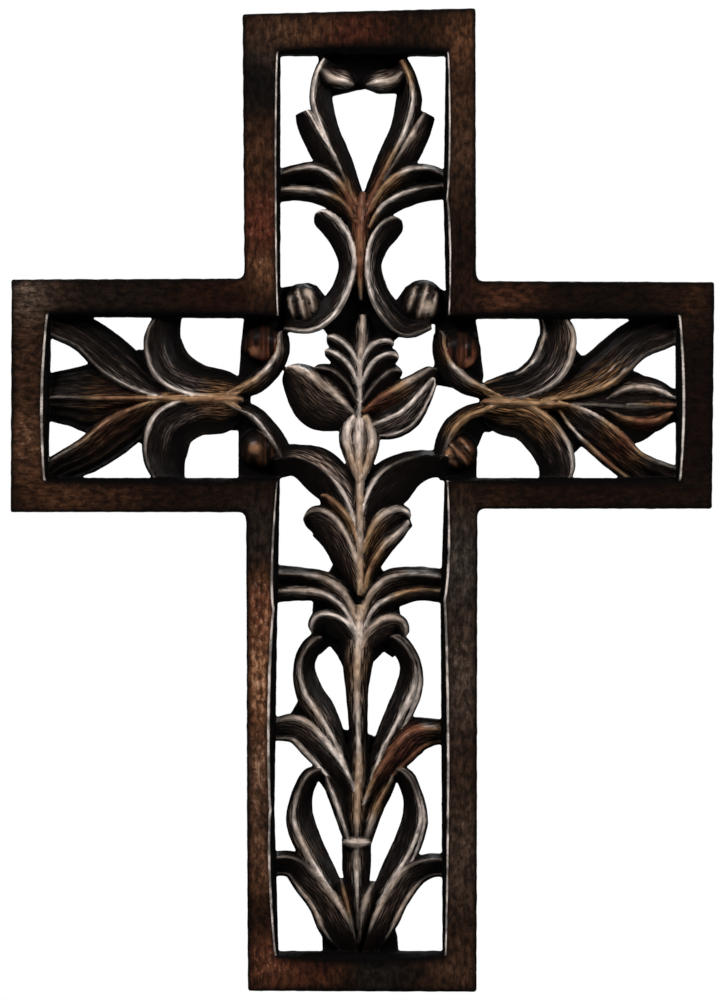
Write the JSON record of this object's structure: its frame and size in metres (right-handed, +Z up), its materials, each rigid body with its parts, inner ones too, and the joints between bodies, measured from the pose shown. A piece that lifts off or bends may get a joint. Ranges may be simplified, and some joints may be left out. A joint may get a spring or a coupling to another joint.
{
  "type": "carved wooden wall cross",
  "caption": "Wall cross carved from one dark stained hardwood board: plain raised bars round pierced acanthus scrolls and leaves, flat back, made to hang on a wall.",
  "frame": {"origin": "hanging point on the flat back of the top bar, 7 mm below the middle of the top edge", "axes": "+X to the right as seen from the front, +Y out of the flat back into the wall, +Z up the upright"},
  "size_m": [0.2908, 0.018, 0.4064],
  "materials": {
    "stained_hardwood": "near-black brown stain, rubbed through to bronze and tan on the crests, satin wax"
  },
  "bodies": {
    "root": {"carved_cross": "stained_hardwood"}
  },
  "joints": []
}
